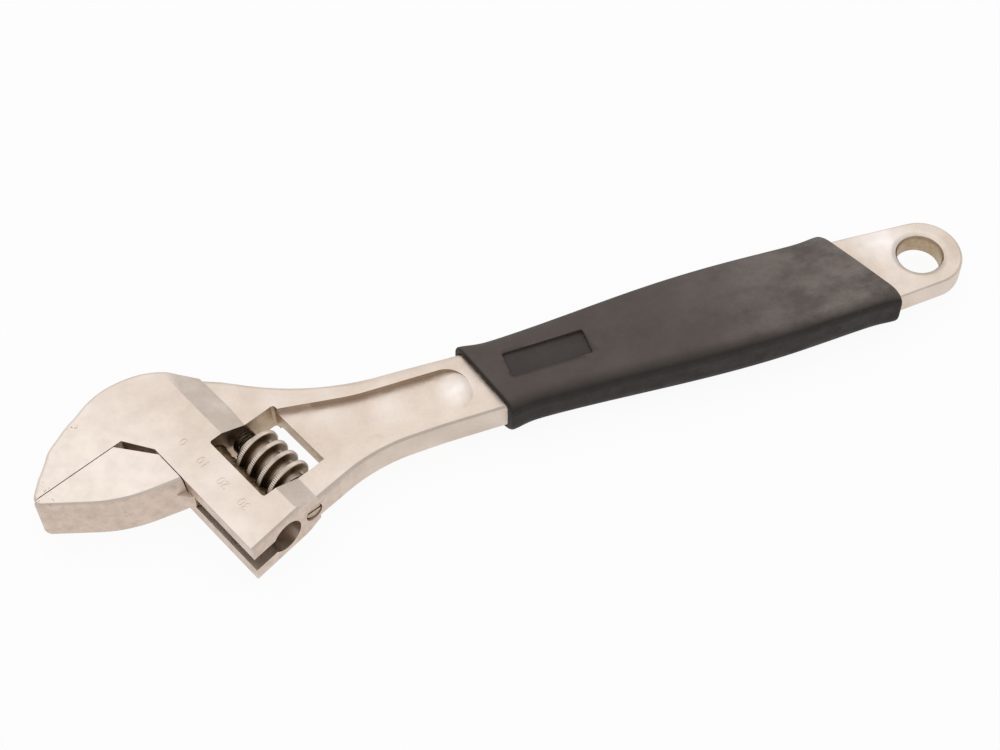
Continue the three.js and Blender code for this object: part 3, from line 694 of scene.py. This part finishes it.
def grip_ring(share, half_width, half_thickness, corner, crown):
    """One loop of the sleeve: where a template point (side, height, round) of the loop lies."""
    slant = FRONT_SLANT + (REAR_SLANT - FRONT_SLANT) * share
    along = GRIP_FRONT + share * (GRIP_REAR - GRIP_FRONT)
    sag = SAG * min(share / BELLY, 1)

    def place(point):
        flat = Vector((max(-1, min(1, point.y)), max(-1, min(1, point.z))))
        rounded = Vector((point.y, point.z)) - flat
        y = flat.x * (half_width - corner) + rounded.x * corner
        z = flat.y * (half_thickness - corner) + rounded.y * corner
        z += math.copysign(crown * (1 - (y / half_width) ** 2), z) if abs(point.z) > 1 else 0
        return HANDLE_FRAME @ Vector((along - slant * y, y - sag, z))

    return place


def outer_rings():
    """Loops over the sleeve's outside from front to rear, with flared and rounded lips."""
    length = GRIP_REAR - GRIP_FRONT
    for count in range(GRIP_RINGS + 1):
        share = 0.5 - 0.5 * math.cos(math.pi * count / GRIP_RINGS)
        inset = min(share, 1 - share) * length
        lip = LIPS[share > 0.5] * math.exp(-((inset / LIP_FADE) ** 2))
        rolled = max(LIP_ROUND - inset, 0)
        drop = LIP_ROUND - math.sqrt(LIP_ROUND ** 2 - rolled ** 2)
        width = between(HALF_WIDTHS, share) + lip - drop
        thickness = between(HALF_THICKNESSES, share) + LIP_ON_FACES * lip - drop
        yield grip_ring(share, width, thickness, GRIP_CORNER, GRIP_CROWN)


def inner_rings():
    """Loops back along the inside: round the tail, over its step and along the neck."""
    length = GRIP_REAR - GRIP_FRONT
    step = (TAIL_STEP - GRIP_FRONT) / length
    for share, (width, thickness) in (
            (1.0, TAIL), (step + STEP_RUN, TAIL), (step, (TAIL[0], NECK[1])), (NECK_SHARE, NECK),
            (0.0, NECK)):
        yield grip_ring(share, width, thickness, INNER_CORNER, 0.0)


def ring_template(bm):
    """A square loop whose corners carry a quarter round beyond it; places are in (side, height)."""
    corner_steps = 6
    flats = 10
    points = []
    for corner in range(4):
        start = corner * math.pi / 2
        diagonal = start + math.pi / 4
        middle = Vector((math.cos(diagonal), math.sin(diagonal))) * math.sqrt(2)
        for step in range(corner_steps + 1):
            angle = start + math.pi / 2 * step / corner_steps
            points.append(middle + Vector((math.cos(angle), math.sin(angle))))
        following = middle.copy()
        following.rotate(Matrix.Rotation(math.pi / 2, 2))
        side = Vector((math.cos(start + math.pi / 2), math.sin(start + math.pi / 2)))
        for step in range(1, flats):
            points.append(middle.lerp(following, step / flats) + side)
    verts = [bm.verts.new((0, point.x, point.y)) for point in points]
    return [bm.edges.new((a, b)) for a, b in zip(verts, verts[1:] + verts[:1])]


def moulded_sleeve():
    """The rubber sleeve: a rounded loop drawn along the outside, round the lips and back inside."""
    bm = bmesh.new()
    loop = ring_template(bm)
    template = [vert.co.copy() for vert in bm.verts]
    first = None
    for place in (*outer_rings(), *inner_rings()):
        if first is None:
            first = loop
            verts = bm.verts[:]
        else:
            made = bmesh.ops.extrude_edge_only(bm, edges=loop)["geom"]
            loop = [e for e in made if isinstance(e, bmesh.types.BMEdge)]
            verts = [v for v in made if isinstance(v, bmesh.types.BMVert)]
        for vert, point in zip(verts, template):
            vert.co = place(point)
    bmesh.ops.bridge_loops(bm, edges=first + loop)
    bmesh.ops.recalc_face_normals(bm, faces=bm.faces)
    piece = new_piece("moulded_sleeve", bm, "wrench", "grip_sleeve")
    surface = between(HALF_THICKNESSES, PANEL_SHARE) + GRIP_CROWN
    panel = bmesh.new()
    bmesh.ops.create_cube(
        panel, size=1.0, matrix=HANDLE_FRAME
        @ Matrix.Translation((*PANEL_MIDDLE, surface - PANEL_DEPTH))
        @ Matrix.Rotation(-PANEL_TILT, 4, "X")
        @ Matrix.Translation((0, 0, surface / 2))
        @ Matrix.Diagonal((*PANEL, surface, 1)))
    upright_edges = [
        e for e in panel.edges if abs((e.verts[0].co - e.verts[1].co).normalized().z) > 0.9]
    bmesh.ops.bevel(
        panel, geom=upright_edges, offset=PANEL_CORNER, offset_type="OFFSET", affect="EDGES",
        segments=4, profile=0.5, material=-1)
    cut(piece, panel)
    return shade_by_angle(piece, TURNED_CREASE)


sleeve = moulded_sleeve()
# The level mark tells the rubber where its sides take painted shade.
mark_points(sleeve, "level", levelness)

# ---- finishes on the pieces ----
def on_head(opening, reach):
    """A place on the head's upper face, from millimetres along opening and reach."""
    return in_head(opening * MM, reach * MM, HEAD_HALF)


def on_handle(x, y, up):
    """A place on the handle, from millimetres in its own frame."""
    return HANDLE_FRAME @ (Vector((x, y, up)) * MM)


# The first patch is a painted highlight on the pocket's rounded end; the second makes the tail paler.
nickel("plated_body", fade=(-16 * MM, 22 * MM),
       patches=((on_handle(-160.0, 0.3, 4.5), 7 * MM), (on_handle(-9.0, 8.0, 4.2), 12 * MM)),
       spots=((on_head(-15.0, -12.5), 4 * MM), (on_head(-2.0, -34.0), 4 * MM))).on(body)
nickel("plated_jaw", fade=(-10 * MM, 12 * MM),
       spots=((on_head(2.0, -34.5), 4 * MM), (in_head(18 * MM, -16 * MM), 5 * MM))).on(jaw)
nickel("plated_pin").on(pin)


def oiled_shaded_worm():
    """Crests rubbed bright by thumbs, flanks brown with oil and painted shade, roots paler again."""
    finish = Finish("oiled_shaded_worm", Metallic=1.0, IOR=METAL_IOR)
    radius = finish.from_axis(worm_place, OPENING)
    share = finish.spread(radius, 0, 1, ROOT_RADIUS, WORM_RADIUS)
    bands = finish.ramp(share, *WORM_BANDS)
    stain = finish.spread(finish.noise(0.002, 4, 0.7), 0, 0.5, 0.5, 0.75)
    finish.colour(finish.mix(stain, bands, OIL_THIN))
    finish.roughness(finish.spread(finish.noise(0.003, 3), 0.3, 0.48))
    return finish.bump((finish.noise(0.0006, 2), 0.00002))


oiled_shaded_worm().on(worm)

# Near-black wire: oil, and painted shade where the spring sits deep in the window.
wire = Finish("oiled_shaded_wire", Metallic=1.0, IOR=METAL_IOR)
wire.colour(wire.ramp(wire.noise(0.0015, 3), (0.3, WIRE_DARK), (0.7, WIRE_OILED)))
wire.roughness(wire.spread(wire.noise(0.002, 3), 0.3, 0.5))
wire.bump((wire.noise(0.0004, 2), 0.00001))
wire.on(spring)


def rubber():
    """Matte moulded rubber: scuffed grey on top towards the rear, with painted shade down its sides."""
    finish = Finish("moulded_rubber", Roughness=0.6, Specular_IOR_Level=0.25)
    tone = finish.ramp(finish.noise(0.03, 4), (0.3, RUBBER_DARK), (0.7, RUBBER))
    blotches = finish.spread(finish.noise(0.012, 7, 0.72, (0.7, 1, 1)), 0.15, 1, 0.38, 0.62)
    rearward = finish.spread(finish.along(Vector((1, 0, 0)), hole), 0.1, 0.85, -85 * MM, -30 * MM)
    tone = finish.mix(finish.math("MULTIPLY", blotches, rearward), tone, RUBBER_SCUFFED)
    # Painted shade: faces that don't face up take the dark side tone.
    painted_lit_share = finish.spread(finish.marked("level"), 0, 1, 0.45, 0.95)
    tone = finish.mix(painted_lit_share, RUBBER_SIDE_SHADE, tone)
    dust = finish.math("MULTIPLY", finish.specks(0.0006, 0.04), 0.35)
    finish.colour(finish.mix(dust, tone, DUST))
    finish.roughness(finish.spread(finish.noise(0.005, 5, 0.7), 0.48, 0.7))
    return finish.bump((finish.noise(0.012, 3), 0.0002), (finish.noise(0.0006, 3, 0.7), 0.00003))


rubber().on(sleeve)

# ---- camera ----
VIEW_AZIMUTH = math.radians(18.66)
VIEW_ELEVATION = math.radians(54.09)
VIEW_ROLL = 0.0231068
VIEW_DISTANCE = 0.583893
VIEW_TARGET = hole + Vector((-144.09, 3.2, 0)) * MM
LENS = 66.614
SENSOR_WIDTH = 36
NEAREST = 0.01  # metres, closest thing the camera shows

forward = Vector((
    math.sin(VIEW_AZIMUTH) * math.cos(VIEW_ELEVATION),
    math.cos(VIEW_AZIMUTH) * math.cos(VIEW_ELEVATION),
    -math.sin(VIEW_ELEVATION),
))
level = forward.cross(UP).normalized()
above = level.cross(forward)
right = math.cos(VIEW_ROLL) * level - math.sin(VIEW_ROLL) * above
upright = math.sin(VIEW_ROLL) * level + math.cos(VIEW_ROLL) * above
camera_data = bpy.data.cameras.new("camera")
camera_data.lens = LENS
camera_data.sensor_width = SENSOR_WIDTH
camera_data.clip_start = NEAREST
camera = bpy.data.objects.new("camera", camera_data)
turn = Matrix((right, upright, -forward)).transposed().to_4x4()
camera.matrix_world = Matrix.Translation(VIEW_TARGET - VIEW_DISTANCE * forward) @ turn
scene.collection.objects.link(camera)
scene.camera = camera

# ---- table and light ----
TABLE_HALF = 4  # metres
TABLE_DROP = 0.02 * MM  # just clear of the jaw's flat underside
TABLE_PAINT = (0.9, 0.9, 0.9, 1)
TABLE_GLOW = 0.93  # how much of the table's white is its own light, where it is seen
LAMP_PLACE = Vector((0.1, 0.55, 1.2))
LAMP_SIZE = (1.8, 1.4)
LAMP_WATTS = 4.3
SKY = 0.66

floor_bm = bmesh.new()
bmesh.ops.create_grid(floor_bm, x_segments=1, y_segments=1, size=TABLE_HALF)
floor_mesh = bpy.data.meshes.new("table")
floor_bm.to_mesh(floor_mesh)
floor_bm.free()
floor = bpy.data.objects.new("table", floor_mesh)
scene.collection.objects.link(floor)
floor.location.z = -TABLE_DROP
white = Finish("white_table", Roughness=0.8)
white.shader.inputs["Base Color"].default_value = TABLE_PAINT
rays = white.nodes.new("ShaderNodeLightPath")
seen = white.math("MAXIMUM", rays.outputs["Is Camera Ray"], rays.outputs["Is Glossy Ray"])
seen = white.math("MAXIMUM", seen, rays.outputs["Is Transmission Ray"])
glow = white.nodes.new("ShaderNodeEmission")
blend = white.nodes.new("ShaderNodeMixShader")
white.links.new(white.math("MULTIPLY", seen, TABLE_GLOW), blend.inputs["Fac"])
white.links.new(white.shader.outputs["BSDF"], blend.inputs[1])
white.links.new(glow.outputs["Emission"], blend.inputs[2])
white.links.new(blend.outputs["Shader"], white.nodes["Material Output"].inputs["Surface"])
white.on(floor)

softbox = bpy.data.lights.new("softbox_top", "AREA")
softbox.shape = "RECTANGLE"
softbox.size, softbox.size_y = LAMP_SIZE
softbox.energy = LAMP_WATTS
lamp = bpy.data.objects.new("softbox_top", softbox)
aimed = (-LAMP_PLACE).to_track_quat("-Z", "Y").to_matrix().to_4x4()
lamp.matrix_world = Matrix.Translation(LAMP_PLACE) @ aimed
scene.collection.objects.link(lamp)
world = bpy.data.worlds.new("studio")
world.use_nodes = True
sky = world.node_tree.nodes["Background"]
sky.inputs["Color"].default_value = (1, 1, 1, 1)
sky.inputs["Strength"].default_value = SKY
scene.world = world
scene.view_settings.view_transform = "Standard"
